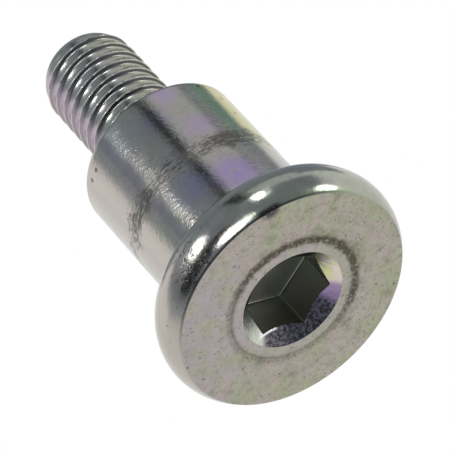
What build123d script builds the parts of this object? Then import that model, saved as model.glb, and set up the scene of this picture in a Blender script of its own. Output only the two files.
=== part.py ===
"""Shoulder bolt: a flat, barrel-edged head with a hexagon socket, a plain running shoulder and a
reduced threaded shank. Cold headed, turned and rolled from one bar, so it is one solid.

Millimetres. The head's face is at z = 0 and the bolt rises from it along +Z, head down."""

import os

from build123d import *

os.makedirs("parts", exist_ok=True)

# Head: a disc with a flat face, and an edge rounded like a barrel's
HEAD_DIA = 20.2
FACE_DIA = 18.9
HEAD_HEIGHT = 3.8
FACE_EDGE_ROUND = 0.12
SEAT_EDGE_ROUND = 0.5

# Shoulder: the ground pin that the moving part turns on
SHOULDER_DIA = 13.3
SHOULDER_END_Z = 19.6
SHOULDER_ROOT_ROUND = 0.4
SHOULDER_CHAMFER = 0.3

# Threaded shank, at the thread's outside diameter, with the neck that the rolls run out on
THREAD_DIA = 7.8
NECK_DIA = 6.9
NECK_LENGTH = 1.3
NECK_ROOT_ROUND = 0.5
THREAD_END_Z = 32.5
POINT_DIA = 6.3
POINT_LENGTH = 1.7
POINT_ROUND = 0.5

# Hexagon socket, with its mouth opened out by a wide cone
KEY_ACROSS_FLATS = 6.2
KEY_DEPTH = 4.2
MOUTH_DIA = 8.46
MOUTH_ANGLE = 96

with BuildPart() as shoulder_bolt:
    # Everything round: half the bolt's section, turned about its axis
    with BuildSketch(Plane.XZ) as half_section:
        with BuildLine() as turned_outline:
            face = Line((0, 0), (FACE_DIA / 2, 0))
            barrel = ThreePointArc(
                face @ 1, (HEAD_DIA / 2, HEAD_HEIGHT / 2), (FACE_DIA / 2, HEAD_HEIGHT)
            )
            seat = Line(barrel @ 1, (SHOULDER_DIA / 2, HEAD_HEIGHT))
            pin = Line(seat @ 1, (SHOULDER_DIA / 2, SHOULDER_END_Z))
            step = Line(pin @ 1, (NECK_DIA / 2, SHOULDER_END_Z))
            neck = Line(step @ 1, (NECK_DIA / 2, SHOULDER_END_Z + NECK_LENGTH))
            run_out = Line(
                neck @ 1,
                (THREAD_DIA / 2, SHOULDER_END_Z + NECK_LENGTH + (THREAD_DIA - NECK_DIA) / 2),
            )
            shank = Line(run_out @ 1, (THREAD_DIA / 2, THREAD_END_Z - POINT_LENGTH))
            point = Line(shank @ 1, (POINT_DIA / 2, THREAD_END_Z))
            Polyline(point @ 1, (0, THREAD_END_Z), (0, 0))
        make_face()

        # Every corner of the section is broken or rounded before it is turned
        fillet(vertices().sort_by_distance(face @ 1)[0], FACE_EDGE_ROUND)
        fillet(vertices().sort_by_distance(barrel @ 1)[0], SEAT_EDGE_ROUND)
        fillet(vertices().sort_by_distance(seat @ 1)[0], SHOULDER_ROOT_ROUND)
        chamfer(vertices().sort_by_distance(pin @ 1)[0], SHOULDER_CHAMFER)
        fillet(vertices().sort_by_distance(step @ 1)[0], NECK_ROOT_ROUND)
        fillet(vertices().sort_by_distance(point @ 1)[0], POINT_ROUND)
    revolve(axis=Axis.Z)

    # The key socket is punched up into the head, two flats square to X
    with BuildSketch(Plane.XY) as key:
        RegularPolygon(KEY_ACROSS_FLATS / 2, 6, major_radius=False, rotation=30)
    extrude(amount=KEY_DEPTH, mode=Mode.SUBTRACT)

    # Its mouth is countersunk, and the cone dies out against the flats in arcs
    with Locations(Plane.XY.rotated((180, 0, 0))):
        CounterSinkHole(
            radius=KEY_ACROSS_FLATS / 4,
            counter_sink_radius=MOUTH_DIA / 2,
            depth=KEY_DEPTH - 0.4,
            counter_sink_angle=MOUTH_ANGLE,
        )

shoulder_bolt.part.label = "shoulder_bolt"
export_step(shoulder_bolt.part, "parts/shoulder_bolt.step")
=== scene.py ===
import math
import bmesh
import bpy
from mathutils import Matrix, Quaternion, Vector


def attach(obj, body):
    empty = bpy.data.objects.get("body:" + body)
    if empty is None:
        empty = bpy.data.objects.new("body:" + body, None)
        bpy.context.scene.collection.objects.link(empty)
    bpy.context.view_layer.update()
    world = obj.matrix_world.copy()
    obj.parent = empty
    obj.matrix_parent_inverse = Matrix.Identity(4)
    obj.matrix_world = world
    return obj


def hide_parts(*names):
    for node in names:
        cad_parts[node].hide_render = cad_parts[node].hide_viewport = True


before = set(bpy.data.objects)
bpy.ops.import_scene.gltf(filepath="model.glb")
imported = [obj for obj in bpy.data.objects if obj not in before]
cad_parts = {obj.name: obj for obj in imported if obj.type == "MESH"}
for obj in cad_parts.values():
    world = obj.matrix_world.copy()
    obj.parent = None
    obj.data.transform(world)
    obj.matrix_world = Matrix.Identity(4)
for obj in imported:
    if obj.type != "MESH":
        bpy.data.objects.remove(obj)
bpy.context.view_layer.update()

# ---------------------------------------------------------------------------------------------
# Face of the head.
# The bolt is one piece of steel bar, cold headed, turned and zinc plated, and it stands on this
# flat face. A key's collar has worn a shallow groove in it, which holds a ring of old grease.

MM = 0.001
COLUMNS = 288
FACE, EDGE, SHOULDER, THREAD, SOCKET = range(5)
bolt_mesh = bpy.data.meshes.new("shoulder_bolt_steel")
bolt_mesh_points = []
bolt_mesh_faces = []
bolt_mesh_finish = []


def ring(radius, height):
    """One row of points round the axis. Radius and height are numbers, or take the angle."""
    first = len(bolt_mesh_points)
    for k in range(COLUMNS):
        a = 2 * math.pi * k / COLUMNS
        r = radius(a) if callable(radius) else radius
        z = height(a) if callable(height) else height
        bolt_mesh_points.append((r * math.cos(a) * MM, r * math.sin(a) * MM, z * MM))
    return first


def skin(low, high, finish):
    """Closes the band between two rows, low one first as the outline runs from the socket out."""
    for k in range(COLUMNS):
        n = (k + 1) % COLUMNS
        bolt_mesh_faces.append((low + k, high + k, high + n, low + n))
        bolt_mesh_finish.append(finish)


def lay(last, rows, finish, inward=False):
    """Adds rows of (radius, height) one after another to the last one, and returns the newest."""
    for radius, height in rows:
        row = ring(radius, height)
        if inward:
            skin(row, last, finish)
        else:
            skin(last, row, finish)
        last = row
    return last


head_radius, head_height = 10.1, 3.8
barrel_end_radius = 9.45
sagitta = head_radius - barrel_end_radius
barrel_radius = ((head_height / 2) ** 2 + sagitta**2) / (2 * sagitta)
barrel_r, barrel_z = head_radius - barrel_radius, head_height / 2
front_corner = 0.12


def barrel_corner(corner, at_back):
    """Where a small corner sits between the barrel round and the face or the seat."""
    z = head_height - corner if at_back else corner
    r = barrel_r + math.sqrt((barrel_radius - corner) ** 2 - (z - barrel_z) ** 2)
    return r, z, math.degrees(math.atan2(z - barrel_z, r - barrel_r))


front_r, front_z, front_angle = barrel_corner(front_corner, False)
mouth_radius = 4.23
groove_rows = [(5.15, 0.012), (5.25, 0.035), (5.35, 0.045), (5.45, 0.035), (5.58, 0.012)]
face_rows = [(r, 0.0) for r in (4.28, 4.4, 4.6, 4.85, 5.05)]
face_rows += groove_rows
face_rows += [(r, 0.0) for r in (5.75, 6.2, 6.8, 7.4, 8.0, 8.6, 9.0, 9.25, 9.35, front_r)]
mouth = ring(mouth_radius, 0.0)
last = lay(mouth, face_rows, FACE)


def node(tree, kind, plugs, **settings):
    """Adds a node, with a value or another node's socket in each of its named inputs."""
    made = tree.nodes.new(kind)
    for name, value in settings.items():
        setattr(made, name, value)
    for name, value in plugs.items():
        if isinstance(value, bpy.types.NodeSocket):
            tree.links.new(value, made.inputs[name])
        else:
            made.inputs[name].default_value = value
    return made


def noise(tree, where, scale, detail=2.0, rough=0.5):
    plugs = {"Vector": where, "Scale": scale, "Detail": detail, "Roughness": rough}
    return node(tree, "ShaderNodeTexNoise", plugs).outputs["Fac"]


def ramp(tree, value, low, high, start=0.0, end=1.0):
    """Smooth step from start at low to end at high."""
    plugs = {"Value": value, "From Min": low, "From Max": high, "To Min": start, "To Max": end}
    return node(tree, "ShaderNodeMapRange", plugs, interpolation_type="SMOOTHSTEP").outputs[0]


def calc(tree, operation, p, q=0.0):
    return node(tree, "ShaderNodeMath", {0: p, 1: q}, operation=operation).outputs[0]


def times(tree, first, *others):
    for other in others:
        first = calc(tree, "MULTIPLY", first, other)
    return first


def plus(tree, first, *others):
    for other in others:
        first = calc(tree, "ADD", first, other)
    return first


def apart(tree, value, middle):
    """How far a value is from a middle one, to either side."""
    return calc(tree, "ABSOLUTE", calc(tree, "SUBTRACT", value, middle))


def blend(tree, share, p, q):
    made = tree.nodes.new("ShaderNodeMix")
    made.data_type = "RGBA"
    for slot, value in ((0, share), (6, p), (7, q)):
        if isinstance(value, bpy.types.NodeSocket):
            tree.links.new(value, made.inputs[slot])
        elif slot:
            made.inputs[slot].default_value = (*value, 1.0)
        else:
            made.inputs[slot].default_value = value
    return made.outputs[2]


def stain(tree, film, place, tint, strength=1.0):
    """Tints the film where the place's share is above 0, as much as strength allows."""
    share = place if strength == 1.0 else times(tree, place, strength)
    return blend(tree, share, film, tint)


def zinc_film(name):
    """Starts a plated finish: its tree, its places in millimetres and the film's mottled colour."""
    mat = bpy.data.materials.new(name)
    mat.use_nodes = True
    tree = mat.node_tree
    tree.nodes.clear()
    coords = tree.nodes.new("ShaderNodeTexCoord").outputs["Object"]
    plugs = {0: coords, "Scale": 1 / MM}
    where = node(tree, "ShaderNodeVectorMath", plugs, operation="SCALE").outputs[0]
    film_pink, film_green, film_cloud = (0.475, 0.41, 0.385), (0.4, 0.425, 0.29), (0.2, 0.195, 0.165)
    broad = ramp(tree, noise(tree, where, 0.3, 2), 0.38, 0.62)
    small = ramp(tree, noise(tree, where, 1.3, 3, 0.6), 0.35, 0.65)
    patchy = plus(tree, times(tree, broad, 0.65), times(tree, small, 0.35))
    film = blend(tree, patchy, film_pink, film_green)
    cloudy = ramp(tree, noise(tree, where, 1.9, 6, 0.7), 0.42, 0.68, 0.0, 0.35)
    film = blend(tree, cloudy, film, film_cloud)
    return mat, tree, where, film


def out_from_axis(tree, where):
    flat = node(tree, "ShaderNodeVectorMath", {0: where, 1: (1, 1, 0)}, operation="MULTIPLY")
    return node(tree, "ShaderNodeVectorMath", {0: flat.outputs[0]}, operation="LENGTH").outputs["Value"]


def toward(tree, where, angle, low, high):
    """Share of a place that lies on the side of the axis at this angle, by its cosine."""
    a = math.radians(angle)
    flat = node(tree, "ShaderNodeVectorMath", {0: where, 1: (1, 1, 0)}, operation="MULTIPLY")
    unit = node(tree, "ShaderNodeVectorMath", {0: flat.outputs[0]}, operation="NORMALIZE")
    plugs = {0: unit.outputs[0], 1: (math.cos(a), math.sin(a), 0)}
    dot = node(tree, "ShaderNodeVectorMath", plugs, operation="DOT_PRODUCT")
    return ramp(tree, dot.outputs["Value"], low, high)


smoked, rubbed = (0.27, 0.265, 0.2), (0.5, 0.5, 0.43)
lilac, collar_rub = (0.45, 0.395, 0.42), (0.46, 0.42, 0.43)
mat, tree, where, film = zinc_film("zinc_face")
from_axis = out_from_axis(tree, where)
film = stain(tree, film, ramp(tree, noise(tree, where, 0.55, 4, 0.6), 0.5, 0.72, 0.0, 0.8), smoked)
film = stain(tree, film, ramp(tree, noise(tree, where, 0.8, 4, 0.65), 0.55, 0.75, 0.0, 0.6), rubbed)
lilac_cloud = ramp(tree, noise(tree, where, 0.5, 2), 0.35, 0.6)
lilac_side = times(tree, toward(tree, where, 205, 0.3, 1.0), lilac_cloud)
film = stain(tree, film, lilac_side, lilac, 0.7)
film = stain(tree, film, ramp(tree, from_axis, 4.95, 5.15, 1.0, 0.0), collar_rub, 0.35)

# The grease is ragged, thick on one side of the ring, and has spread a little outside it.
grime, old_grease, packed_dirt = (0.1, 0.087, 0.06), (0.17, 0.15, 0.11), (0.17, 0.155, 0.12)
ragged = plus(tree, from_axis, times(tree, noise(tree, where, 1.6, 5, 0.75), 0.9))
in_groove = ramp(tree, apart(tree, ragged, 5.82), 0.05, 0.6, 1.0, 0.0)
dirty_side = plus(tree, times(tree, toward(tree, where, 325, -0.75, 0.7), 0.75), 0.3)
broken = ramp(tree, noise(tree, where, 3.2, 5, 0.75), 0.3, 0.56)
ring_dirt = times(tree, in_groove, dirty_side, broken)
spread = ramp(tree, apart(tree, ragged, 6.2), 0.1, 0.8, 1.0, 0.0)
spread = times(tree, spread, toward(tree, where, 350, -0.2, 0.9))
spread = times(tree, spread, ramp(tree, noise(tree, where, 1.4, 5, 0.75), 0.45, 0.62))
film = stain(tree, film, spread, old_grease, 0.55)
film = stain(tree, film, calc(tree, "MINIMUM", times(tree, ring_dirt, 1.1), 0.85), grime)
film = stain(tree, film, ramp(tree, apart(tree, from_axis, 5.2), 0.03, 0.16, 1.0, 0.0), packed_dirt, 0.45)


def stretched(tree, where, x, y, z, turned=0.0):
    plugs = {"Vector": where, "Scale": (x, y, z), "Rotation": (0, 0, math.radians(turned))}
    return node(tree, "ShaderNodeMapping", plugs).outputs[0]


def near(tree, where, point, inner, outer):
    """1 within inner millimetres of a point, falling to 0 at outer."""
    gap = node(tree, "ShaderNodeVectorMath", {0: where, 1: point}, operation="DISTANCE")
    return ramp(tree, gap.outputs["Value"], inner, outer, 1.0, 0.0)


# Pits, two lays of fine scratches, and a nick that runs over onto the edge of the head, painted
# nearly black as painted shade.
pit_dark, scratch_dark, nick_shade = (0.11, 0.1, 0.08), (0.15, 0.14, 0.11), (0.03, 0.03, 0.035)
pits = ramp(tree, noise(tree, where, 3.4, 4, 0.65), 0.59, 0.69)
film = stain(tree, film, pits, pit_dark, 0.85)
long_lay = noise(tree, stretched(tree, where, 0.25, 7.0, 1.0, 38), 1.0, 2)
cross_lay = noise(tree, stretched(tree, where, 7.0, 0.3, 1.0, 15), 1.0, 2)
scratches = plus(tree, ramp(tree, long_lay, 0.66, 0.74), ramp(tree, cross_lay, 0.68, 0.76))
film = stain(tree, film, scratches, scratch_dark, 0.6)
nick = near(tree, where, (1.8, -9.4, 0.0), 0.35, 1.1)
nick = times(tree, nick, ramp(tree, noise(tree, where, 2.6, 3, 0.7), 0.36, 0.44))
film = stain(tree, film, nick, nick_shade, 0.9)


def plated(mat, tree, colour, roughness, relief, height):
    """Ends a plated finish. Relief is a height map, and height its depth in millimetres."""
    bump = node(tree, "ShaderNodeBump", {"Height": relief, "Distance": height * MM, "Strength": 1.0})
    plugs = {"Base Color": colour, "Roughness": roughness, "Metallic": 1.0, "Normal": bump.outputs[0]}
    shader = node(tree, "ShaderNodeBsdfPrincipled", plugs)
    out = tree.nodes.new("ShaderNodeOutputMaterial")
    tree.links.new(shader.outputs[0], out.inputs["Surface"])
    bolt_mesh.materials.append(mat)


grain = plus(tree, noise(tree, where, 2.2, 4, 0.6), times(tree, pits, -0.5))
grain = plus(tree, grain, times(tree, scratches, -0.15))
dull = ramp(tree, noise(tree, where, 0.9, 3), 0.3, 0.7, 0.34, 0.46)
plated(mat, tree, film, plus(tree, dull, times(tree, ring_dirt, 0.3)), grain, 0.04)

# ---------------------------------------------------------------------------------------------
# Edge of the head.
# Plated steel, turned to a barrel round that keeps most of its polish. It is speckled where it
# has been knocked, has a thin dark line painted along the lip in front as painted shade, and is
# paler along the back by the seat.

back_corner = 0.5


def arc(centre_r, centre_z, radius, start, end, steps):
    """Points along an arc of the outline, between two angles in degrees."""
    points = []
    for i in range(steps + 1):
        a = math.radians(start + (end - start) * i / steps)
        points.append((centre_r + radius * math.cos(a), centre_z + radius * math.sin(a)))
    return points


back_r, back_z, back_angle = barrel_corner(back_corner, True)
edge_rows = arc(front_r, front_z, front_corner, -90, front_angle, 4)[1:]
edge_rows += arc(barrel_r, barrel_z, barrel_radius, front_angle, back_angle, 30)[1:]
edge_rows += arc(back_r, back_z, back_corner, back_angle, 90, 5)[1:]
edge_rows += [(r, head_height) for r in (8.8, 8.0, 7.3)]
last = lay(last, edge_rows, EDGE)


def up_axis(tree, where):
    return node(tree, "ShaderNodeSeparateXYZ", {"Vector": where}).outputs["Z"]


cool_steel, seat_film = (0.35, 0.365, 0.37), (0.47, 0.47, 0.37)
leaf_film, sand_film = (0.36, 0.42, 0.3), (0.43, 0.4, 0.36)
mat, tree, where, film = zinc_film("zinc_edge")
height = up_axis(tree, where)
film = stain(tree, film, 0.45, cool_steel)
film = stain(tree, film, ramp(tree, height, 3.1, 3.6), seat_film, 0.7)
front = ramp(tree, height, 0.1, 0.7, 1.0, 0.0)
film = stain(tree, film, times(tree, front, toward(tree, where, 300, 0.75, 1.0)), leaf_film)
film = stain(tree, film, toward(tree, where, 200, 0.55, 0.9), sand_film)

knock_dark, speck_dark, painted_edge_shade = (0.04, 0.04, 0.04), (0.08, 0.08, 0.08), (0.06, 0.06, 0.065)
knocks = ramp(tree, noise(tree, where, 2.8, 3, 0.65), 0.52, 0.6)
knocked = times(tree, knocks, near(tree, where, (-4.9, -8.4, 1.2), 0.6, 2.6))
film = stain(tree, film, knocked, knock_dark, 0.85)
film = stain(tree, film, ramp(tree, noise(tree, where, 3.4, 3, 0.6), 0.64, 0.72), speck_dark, 0.6)
# A thin dark line along the face edge, on one side, is painted shade.
edge_shade_band = ramp(tree, height, 0.07, 0.16, 1.0, 0.0)
film = stain(tree, film, times(tree, edge_shade_band, toward(tree, where, 262, 0.35, 0.9)), painted_edge_shade, 0.85)
# The nick again, painted nearly black as painted shade.
nick = near(tree, where, (1.8, -9.5, 0.1), 0.6, 1.3)
nick = times(tree, nick, ramp(tree, height, 0.15, 0.45, 1.0, 0.0))
nick = times(tree, nick, ramp(tree, noise(tree, where, 2.6, 3, 0.7), 0.36, 0.44))
film = stain(tree, film, nick, nick_shade, 0.9)

grain = plus(tree, noise(tree, where, 0.7, 2), times(tree, noise(tree, where, 2.5, 3, 0.6), 0.35))
grain = plus(tree, grain, times(tree, knocked, -0.3))
shine = ramp(tree, noise(tree, where, 1.2, 3), 0.3, 0.7, 0.13, 0.2)
plated(mat, tree, film, shine, grain, 0.025)

# ---------------------------------------------------------------------------------------------
# Shoulder.
# Ground and plated steel, worn by the part that swings on it: a dark, scuffed belt runs round the
# middle, and the film beside it has turned violet, green and straw yellow.

shoulder_radius, shoulder_end = 6.65, 19.6
seat_fillet = 0.4
chamfer_rows = [(0.0, 0.34), (0.02, 0.29), (0.28, 0.03), (0.33, 0.0)]

shoulder_rows = arc(shoulder_radius + seat_fillet, head_height + seat_fillet, seat_fillet, -90, -180, 5)
shoulder_rows += [(shoulder_radius, 4.5 + 0.5 * i) for i in range(30)]
shoulder_rows += [(shoulder_radius - inward, shoulder_end - down) for inward, down in chamfer_rows]
shoulder_rows += [(r, shoulder_end) for r in (5.6, 4.8, 4.1)]
last = lay(last, shoulder_rows, SHOULDER)

grey_film, warm_film, painted_dark_stripe = (0.36, 0.355, 0.36), (0.46, 0.425, 0.39), (0.2, 0.18, 0.24)
leaf_film, straw_film = (0.3, 0.42, 0.27), (0.48, 0.46, 0.21)
mat, tree, where, film = zinc_film("zinc_shoulder")
height = up_axis(tree, where)
film = stain(tree, film, 0.45, grey_film)
film = stain(tree, film, toward(tree, where, 205, 0.9, 1.0), warm_film)

# Each stain: where it is, the millimetres it fills and fades out in, and its colour.
for point, inner, outer, tint in (
    ((2.5, -6.15, 7.9), 0.5, 2.7, (0.37, 0.29, 0.5)),
    ((2.4, -6.2, 18.5), 0.3, 1.6, (0.42, 0.35, 0.46)),
    ((2.8, -6.0, 14.2), 0.3, 2.2, (0.43, 0.35, 0.45)),
    ((0.4, -6.6, 16.4), 0.3, 2.0, (0.33, 0.31, 0.37)),
    ((-2.4, -6.2, 17.6), 0.6, 2.8, (0.37, 0.39, 0.37)),
    ((-0.6, -6.6, 9.0), 0.4, 2.6, (0.33, 0.32, 0.4)),
):
    uneven = ramp(tree, noise(tree, where, 0.8, 3), 0.25, 0.55, 0.45, 1.0)
    film = stain(tree, film, times(tree, near(tree, where, point, inner, outer), uneven), tint)
green_side = times(tree, toward(tree, where, 325, 0.955, 0.99), ramp(tree, height, 9.0, 13.5))
film = stain(tree, film, green_side, leaf_film)
straw_side = times(tree, toward(tree, where, 338, 0.95, 0.985), ramp(tree, height, 9.5, 14.0))
film = stain(tree, film, straw_side, straw_film)
# A narrow dark stripe down the length of the shoulder is a painted reflection.
film = stain(tree, film, toward(tree, where, 238.5, 0.995, 1.0), painted_dark_stripe, 0.45)

# The belt wanders a little up and down, and is scuffed hardest on two sides.
belt_middle = 13.3
scuff_dark, bare_zinc = (0.075, 0.07, 0.06), (0.5, 0.48, 0.44)
wandering = plus(tree, height, times(tree, noise(tree, where, 0.45, 3), 3.0))
belt = ramp(tree, apart(tree, wandering, belt_middle), 0.2, 1.9, 1.0, 0.0)
beside_belt = ramp(tree, apart(tree, wandering, belt_middle), 0.6, 3.6, 1.0, 0.0)
scuffs = noise(tree, stretched(tree, where, 0.8, 0.8, 2.6), 1.6, 6, 0.8)
hard_sides = plus(tree, toward(tree, where, 232, 0.8, 0.99), toward(tree, where, 310, 0.8, 0.99))
heavy = plus(tree, times(tree, hard_sides, 0.09), times(tree, belt, 0.12))
scuffed = times(tree, belt, ramp(tree, plus(tree, scuffs, heavy), 0.6, 0.72))
film = stain(tree, film, scuffed, scuff_dark, 0.85)
pale = ramp(tree, noise(tree, stretched(tree, where, 0.9, 0.9, 5.0), 1.6, 3, 0.6), 0.56, 0.66)
film = stain(tree, film, times(tree, pale, beside_belt), bare_zinc, 0.5)

# Fine specks all over, five deeper pits, and a bright line painted on the chamfer as a painted
# highlight.
speck_dark, deep_pit = (0.1, 0.095, 0.08), (0.05, 0.045, 0.03)
chamfer_highlight_paint, end_face_grey = (0.55, 0.53, 0.42), (0.2, 0.2, 0.19)
specks = ramp(tree, noise(tree, where, 3.0, 3, 0.6), 0.67, 0.74)
film = stain(tree, film, specks, speck_dark, 0.65)
for point in (
    (-5.04, -4.34, 18.3),
    (-5.67, -3.48, 18.5),
    (5.87, -3.13, 17.6),
    (5.86, -3.15, 15.5),
    (5.0, -4.4, 18.9),
):
    film = stain(tree, film, near(tree, where, point, 0.1, 0.26), deep_pit, 0.8)
chamfer = ramp(tree, height, shoulder_end - 0.35, shoulder_end - 0.25)
end_face = ramp(tree, out_from_axis(tree, where), 6.0, 6.35, 1.0, 0.0)
film = stain(tree, film, chamfer, chamfer_highlight_paint)
film = stain(tree, film, end_face, end_face_grey)

grain = plus(tree, noise(tree, where, 3.0, 3, 0.65), times(tree, scuffed, -0.12))
grain = plus(tree, grain, times(tree, specks, -0.4))
shine = ramp(tree, noise(tree, where, 0.8, 3), 0.3, 0.7, 0.14, 0.2)
plated(mat, tree, film, plus(tree, shine, times(tree, scuffed, 0.15)), grain, 0.016)

# ---------------------------------------------------------------------------------------------
# Screw thread: a coarse right-hand one, taken for M8 x 1.25.
# Rolled into the steel between dies before plating, so the roots are smooth and rounded and the
# crests narrow. The first turns fade into the neck, and the last into the rounded point.

# The pitch is the measured one, 2 percent under the standard, and the depth is under a full thread's.
pitch, crest_radius, screw_end = 1.227, 3.9, 32.5
thread_depth, thread_phase = 0.3, 0.33
crest_half_flat, root_hollow = 0.045, 0.02
neck_radius, neck_fillet = 3.45, 0.5
run_out_start, run_out_slope = 20.5, 0.9
point_start, point_taper, point_round = 30.7, 0.75, 0.35


def soft_min(p, q, k=10.0):
    """The smaller of two values, rounded where they cross. A larger k rounds less."""
    return -math.log(math.exp(-k * p) + math.exp(-k * q)) / k


def thread_radius(a, z):
    """Radius of an endless thread, from how far along the axis the nearest crest is."""
    s = ((z - thread_phase) / pitch - a / (2 * math.pi)) % 1.0
    s = min(s, 1.0 - s) * pitch
    flank = max(0.0, s - crest_half_flat) * math.tan(math.radians(60))
    root = thread_depth - root_hollow * math.cos(2 * math.pi * s / pitch)
    return crest_radius - max(0.0, soft_min(flank, root, 20.0))


def point_radius(z):
    if z < point_start:
        return crest_radius + 0.2
    x = min(1.0, (z - point_start) / (screw_end - point_start))
    return crest_radius + 0.02 - point_taper * x - point_round * x**6


def screw_row(z):
    """The thread, held inside the run-out cone at its foot and the rounded point at its end."""
    run_out = min(neck_radius + max(0.0, z - run_out_start) * run_out_slope, crest_radius + 1.1)

    def r(a):
        return soft_min(soft_min(thread_radius(a, z), run_out), point_radius(z), 30.0)

    return r, z


def close(last, height, finish, inward=False):
    """Closes the last row with a fan to the axis."""
    centre = len(bolt_mesh_points)
    bolt_mesh_points.append((0.0, 0.0, height * MM))
    for k in range(COLUMNS):
        here, beyond = last + k, last + (k + 1) % COLUMNS
        bolt_mesh_faces.append((centre, here, beyond) if inward else (here, centre, beyond))
        bolt_mesh_finish.append(finish)


screw_start, row_step = shoulder_end + 0.6, pitch / 20
row_count = math.ceil((screw_end - 0.02 - screw_start) / row_step)
neck_rows = arc(neck_radius + neck_fillet, shoulder_end + neck_fillet, neck_fillet, -90, -180, 5)
last = lay(last, neck_rows, THREAD)
last = lay(last, [screw_row(screw_start + row_step * i) for i in range(row_count)], THREAD)
last = lay(last, [(r, screw_end) for r in (2.85, 2.4, 1.6, 0.8)], THREAD)
close(last, screw_end, THREAD)

# Bright, because nothing rubs the flanks, but the flanks are painted dark on one side as painted
# shade, and the crests are painted as a pale line, a painted highlight.
steel_blue, rose_film, straw_film = (0.37, 0.385, 0.4), (0.44, 0.37, 0.43), (0.45, 0.44, 0.36)
painted_flank_shade, crest_highlight_paint = (0.1, 0.1, 0.105), (0.66, 0.63, 0.56)
mat, tree, where, film = zinc_film("zinc_thread")
film = stain(tree, film, 0.5, steel_blue)
film = stain(tree, film, toward(tree, where, 205, 0.86, 0.99), rose_film)
film = stain(tree, film, toward(tree, where, 325, 0.7, 0.95), straw_film)
from_axis = out_from_axis(tree, where)
# Painted shade on the flanks, strongest on one side and gone near the point.
flank = times(tree, ramp(tree, from_axis, 3.6, 3.7), ramp(tree, from_axis, 3.8, 3.87, 1.0, 0.0))
flank = times(tree, flank, ramp(tree, up_axis(tree, where), 30.6, 31.4, 0.75, 0.0))
flank = times(tree, flank, plus(tree, toward(tree, where, 300, 0.1, 0.65), 0.35))
film = stain(tree, film, flank, painted_flank_shade)
# A pale line painted on the crests is a painted highlight.
crest = ramp(tree, from_axis, 3.855, 3.89)
crest_highlight = times(tree, crest, ramp(tree, noise(tree, where, 2.4, 3), 0.3, 0.55, 0.45, 1.0))
film = stain(tree, film, crest_highlight, crest_highlight_paint)
shine = ramp(tree, noise(tree, where, 1.5, 3), 0.3, 0.7, 0.19, 0.26)
shine = plus(tree, shine, times(tree, crest_highlight, 0.2))
plated(mat, tree, film, shine, noise(tree, where, 1.6, 3, 0.6), 0.015)

# ---------------------------------------------------------------------------------------------
# Key socket: a hexagon for a 6 mm key.
# Punched into the cold head, then countersunk: the cone runs out against the flats in six arcs.
# The zinc is thin and dark with old oil inside. The cone is painted bright on two sides, a painted
# reflection, and is darker and mottled on the others.

key_half_flat, key_corner, key_floor = 3.1, 3.555, 4.2
cone_slope = math.tan(math.radians(48))


def key_radius(a):
    off = (a + math.pi / 6) % (math.pi / 3) - math.pi / 6
    return min(key_half_flat / math.cos(off), key_corner)


def cone_row(t):
    """A row on the cone, from the mouth at 0 to the hexagon at 1."""

    def r(a):
        return mouth_radius + (key_radius(a) - mouth_radius) * t

    def z(a):
        return (mouth_radius - r(a)) / cone_slope

    return r, z


def wall_row(t, inset=0.0):
    """A row on the hexagon's walls, from the cone at 0 to the floor at 1."""

    def r(a):
        return key_radius(a) - inset

    def z(a):
        top = (mouth_radius - key_radius(a)) / cone_slope
        return top + (key_floor - top) * t

    return r, z


def floor_row(share):
    return (lambda a: key_radius(a) * share), key_floor


socket_rows = [cone_row(t) for t in (0.05, 0.2, 0.4, 0.6, 0.8, 0.93, 0.985)]
socket_rows += [wall_row(t) for t in (0.008, 0.03, 0.1, 0.3, 0.5, 0.7, 0.88, 0.96)]
socket_rows += [wall_row(0.985, 0.012), wall_row(0.997, 0.05), wall_row(1.0, 0.12)]
socket_rows += [floor_row(share) for share in (0.8, 0.5, 0.2)]
last = lay(mouth, socket_rows, SOCKET, inward=True)
close(last, key_floor, SOCKET, inward=True)

# The cone is painted bright on two sides as a painted reflection, pink and straw on one and pale
# green on the other, and is darker and mottled on the others, with pits and a violet patch.
oil_green, oil_brown = (0.36, 0.39, 0.32), (0.35, 0.33, 0.3)
reflection_pink, reflection_straw, reflection_green = (0.68, 0.6, 0.58), (0.62, 0.62, 0.34), (0.6, 0.65, 0.56)
cone_dark, cone_grey, violet = (0.05, 0.047, 0.055), (0.22, 0.205, 0.235), (0.34, 0.25, 0.4)
speck_dark, painted_glint_white = (0.08, 0.07, 0.06), (0.95, 0.95, 0.93)
mat, tree, where, film = zinc_film("zinc_socket")
oily = blend(tree, ramp(tree, noise(tree, where, 0.5, 2), 0.4, 0.6), oil_green, oil_brown)
# Painted reflection: the bright colours of the cone's two bright sides.
painted_reflection = blend(tree, ramp(tree, noise(tree, where, 1.0, 2), 0.4, 0.6), reflection_pink, reflection_straw)
cone = blend(tree, ramp(tree, noise(tree, where, 4.2, 5, 0.75), 0.42, 0.62), cone_dark, cone_grey)
cone = blend(tree, toward(tree, where, 0, 0.75, 0.9), cone, painted_reflection)
cone = stain(tree, cone, toward(tree, where, 180, 0.8, 0.9), reflection_green)
cone = stain(tree, cone, toward(tree, where, 38, 0.96, 0.995), violet)
cone = stain(tree, cone, ramp(tree, noise(tree, where, 3.4, 3, 0.6), 0.66, 0.72), speck_dark, 0.7)
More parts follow.
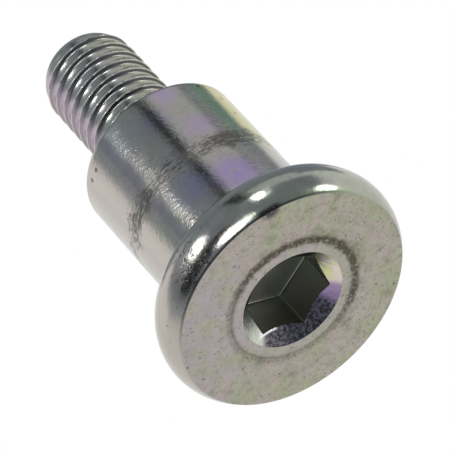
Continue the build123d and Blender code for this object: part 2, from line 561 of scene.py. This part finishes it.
# A white crescent along the edge of one flat, on the cone, is a painted highlight.
flat_120 = (math.cos(math.radians(120)), math.sin(math.radians(120)), 0)
past_flat = node(tree, "ShaderNodeVectorMath", {0: where, 1: flat_120}, operation="DOT_PRODUCT")
painted_glint = ramp(tree, past_flat.outputs["Value"], key_half_flat + 0.06, key_half_flat + 0.16, 1.0, 0.0)
painted_glint = times(tree, painted_glint, toward(tree, where, 142, 0.955, 0.985))
cone = stain(tree, cone, painted_glint, painted_glint_white)
cone_drop = plus(tree, out_from_axis(tree, where), times(tree, up_axis(tree, where), cone_slope))
on_cone = ramp(tree, apart(tree, cone_drop, mouth_radius), 0.02, 0.05, 1.0, 0.0)
film = blend(tree, on_cone, oily, cone)
plated(mat, tree, film, 0.26, noise(tree, where, 2.4, 4, 0.7), 0.03)

# ---------------------------------------------------------------------------------------------
# The whole bolt.
# Head, shoulder, thread and socket are one piece of steel under one coat of zinc, so their rows
# are one closed skin. It is smooth but for edges sharper than the crease angle.

crease_angle = math.radians(42)
bolt_mesh.from_pydata(bolt_mesh_points, [], bolt_mesh_faces)
bolt_mesh.polygons.foreach_set("use_smooth", [True] * len(bolt_mesh.polygons))
bolt_mesh.polygons.foreach_set("material_index", bolt_mesh_finish)
bolt_mesh.set_sharp_from_angle(angle=crease_angle)
bolt = bpy.data.objects.new("shoulder_bolt_steel", bolt_mesh)
bpy.context.scene.collection.objects.link(bolt)
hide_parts("shoulder_bolt")
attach(bolt, "root")

# ---------------------------------------------------------------------------------------------
# Studio: white world, grey surround and soft boxes.
# The world is white behind the bolt and in its metal. A grey surround on the camera's side, with
# cards hung in it, gives the metal its dark tones, and soft boxes give it highlights.

turn = math.radians(-7.855)
scene = bpy.context.scene


def from_stand(az, el):
    """Direction at az degrees clockwise from straight behind the bolt as the camera sees it."""
    a, e = math.radians(az) - turn, math.radians(el)
    return Vector((math.sin(a) * math.cos(e), math.cos(a) * math.cos(e), math.sin(e)))


light_share = 0.9
world = bpy.data.worlds.new("studio")
scene.world = world
world.use_nodes = True
tree = world.node_tree
tree.nodes.clear()
rays = tree.nodes.new("ShaderNodeLightPath").outputs
shown = plus(tree, rays["Is Camera Ray"], rays["Is Glossy Ray"], rays["Is Transmission Ray"])
shown = calc(tree, "MINIMUM", shown, 1.0)
strength = plus(tree, times(tree, shown, 1.0 - light_share), light_share)
sky = node(tree, "ShaderNodeBackground", {"Color": (1, 1, 1, 1), "Strength": strength})
world_out = tree.nodes.new("ShaderNodeOutputWorld")
tree.links.new(sky.outputs[0], world_out.inputs["Surface"])

surround_mesh = bpy.data.meshes.new("surround")
builder = bmesh.new()
bmesh.ops.create_uvsphere(builder, u_segments=48, v_segments=24, radius=0.7)
builder.to_mesh(surround_mesh)
builder.free()
surround = bpy.data.objects.new("surround", surround_mesh)
scene.collection.objects.link(surround)
surround.visible_camera = False
surround.visible_diffuse = False
surround.visible_transmission = False
surround.visible_shadow = False
mat = bpy.data.materials.new("surround")
mat.use_nodes = True
tree = mat.node_tree
tree.nodes.clear()
place = tree.nodes.new("ShaderNodeNewGeometry").outputs["Position"]
facing = node(tree, "ShaderNodeVectorMath", {0: place}, operation="NORMALIZE").outputs[0]


def along(direction):
    plugs = {0: facing, 1: direction}
    return node(tree, "ShaderNodeVectorMath", plugs, operation="DOT_PRODUCT").outputs["Value"]


def card(az, el, wide, tall, soft=0.05):
    """Share covered by a card that is wide by tall degrees, seen from the bolt."""
    ahead = from_stand(az, el)
    across = from_stand(az + 90, 0)
    upright = from_stand(az, el + 90)
    covered = ramp(tree, along(ahead), 0.0, 0.1)
    for axis, size in ((across, wide), (upright, tall)):
        edge = math.tan(math.radians(size / 2))
        offset = calc(tree, "ABSOLUTE", calc(tree, "DIVIDE", along(axis), along(ahead)))
        covered = times(tree, covered, ramp(tree, offset, edge - soft, edge + soft, 1.0, 0.0))
    return covered


# Each card: where it hangs, how wide and tall it is in degrees, and how bright.
front_tone, lower_shade = 0.33, 0.12
tone = ramp(tree, along(from_stand(180, 0)), -0.1, 0.45, 1.0, front_tone)
low = ramp(tree, along(Vector((0, 0, -1))), 0.0, 0.5)
tone = times(tree, tone, calc(tree, "SUBTRACT", 1.0, times(tree, low, lower_shade)))
for az, el, wide, tall, level in (
    (-135, 46, 26, 30, 0.46),
    (-150, -6, 62, 26, 0.04),
    (-170, 42, 26, 24, 0.38),
    (60, 80, 56, 56, 0.36),
    (155, 52, 9, 38, 0.03),
    (95, 56, 56, 30, 0.34),
    (125, 12, 52, 44, 0.33),
    (122, 42, 34, 24, 0.72),
    (-88, 42, 22, 40, 1.1),
):
    change = calc(tree, "SUBTRACT", level, tone)
    tone = plus(tree, tone, times(tree, card(az, el, wide, tall), change))
cool_grey, neutral = (0.88, 0.98, 1.12), (1.0, 1.0, 1.0)
glow_colour = blend(tree, ramp(tree, tone, 0.3, 0.9), cool_grey, neutral)
glow = node(tree, "ShaderNodeEmission", {"Color": glow_colour, "Strength": tone}).outputs[0]
surround_out = tree.nodes.new("ShaderNodeOutputMaterial")
tree.links.new(glow, surround_out.inputs["Surface"])
mat.cycles.emission_sampling = "NONE"
surround_mesh.materials.append(mat)


def soft_box(name, az, el, wide, tall, glow, distance=0.35):
    """An oval lamp that is wide by tall degrees, seen from the bolt, and as bright as glow."""
    light = bpy.data.lights.new(name, "AREA")
    light.shape = "ELLIPSE"
    light.size = 2 * distance * math.tan(math.radians(wide / 2))
    light.size_y = 2 * distance * math.tan(math.radians(tall / 2))
    light.energy = glow * math.pi * math.pi / 4 * light.size * light.size_y
    lamp = bpy.data.objects.new(name, light)
    side = from_stand(az, el)
    lamp.location = side * distance + Vector((0, 0, 0.01))
    lamp.rotation_mode = "QUATERNION"
    lamp.rotation_quaternion = side.to_track_quat("Z", "Y")
    lamp.visible_camera = False
    scene.collection.objects.link(lamp)


soft_box("soft_box_left", -152, 24.5, 15, 26, 7)
soft_box("soft_box_front", 177, -18, 34, 20, 4)
soft_box("soft_box_right", 97, -8, 18, 14, 4)
soft_box("soft_box_small", 146, 21, 8, 20, 8)

# ---------------------------------------------------------------------------------------------
# Bench: a pale floor under the head.
# A round sheet of matt board whose edge fades into the white world. It is seen from above only,
# and keeps the bolt's soft shadow.

bench_radius, bench_grey, bench_gap = 0.3, 0.86, 0.00005
fade_start, fade_end = 0.1, 0.28
bench_mesh = bpy.data.meshes.new("bench")
builder = bmesh.new()
bmesh.ops.create_circle(builder, cap_ends=True, segments=96, radius=bench_radius)
builder.to_mesh(bench_mesh)
builder.free()
bench = bpy.data.objects.new("bench", bench_mesh)
bench.location.z = -bench_gap
scene.collection.objects.link(bench)
bench.visible_glossy = False
bench.visible_diffuse = False
bench.visible_shadow = False
bench.visible_transmission = False
mat = bpy.data.materials.new("bench")
mat.use_nodes = True
tree = mat.node_tree
tree.nodes.clear()
sheet = tree.nodes.new("ShaderNodeNewGeometry").outputs
reach = node(tree, "ShaderNodeVectorMath", {0: sheet["Position"]}, operation="LENGTH").outputs["Value"]
clear = calc(tree, "MAXIMUM", ramp(tree, reach, fade_start, fade_end), sheet["Backfacing"])
board_colour = (bench_grey, bench_grey, bench_grey, 1)
board = node(tree, "ShaderNodeBsdfDiffuse", {"Color": board_colour}).outputs[0]
open_air = tree.nodes.new("ShaderNodeBsdfTransparent").outputs[0]
mixed = node(tree, "ShaderNodeMixShader", {0: clear, 1: board, 2: open_air}).outputs[0]
bench_out = tree.nodes.new("ShaderNodeOutputMaterial")
tree.links.new(mixed, bench_out.inputs["Surface"])
bench_mesh.materials.append(mat)

# ---------------------------------------------------------------------------------------------
# Camera.
# A long lens that looks up at the face of the head, from in front of the bolt and below the
# bench. It is rolled, so the bolt leans across the picture with its face toward the lens.

aim = Vector((-0.654, -4.803, 5.605)) * MM
back = from_stand(180, -41.581)
distance, roll = 0.29924, math.radians(-42.225)
camera_data = bpy.data.cameras.new("camera")
camera_data.sensor_width = 36.0
camera_data.lens = 327.04
camera_data.clip_start, camera_data.clip_end = 0.01, 10.0
camera = bpy.data.objects.new("camera", camera_data)
scene.collection.objects.link(camera)
camera.location = aim + back * distance
camera.rotation_mode = "QUATERNION"
camera.rotation_quaternion = (-back).to_track_quat("-Z", "Y") @ Quaternion((0, 0, 1), roll)
scene.camera = camera
scene.view_settings.view_transform = "Standard"
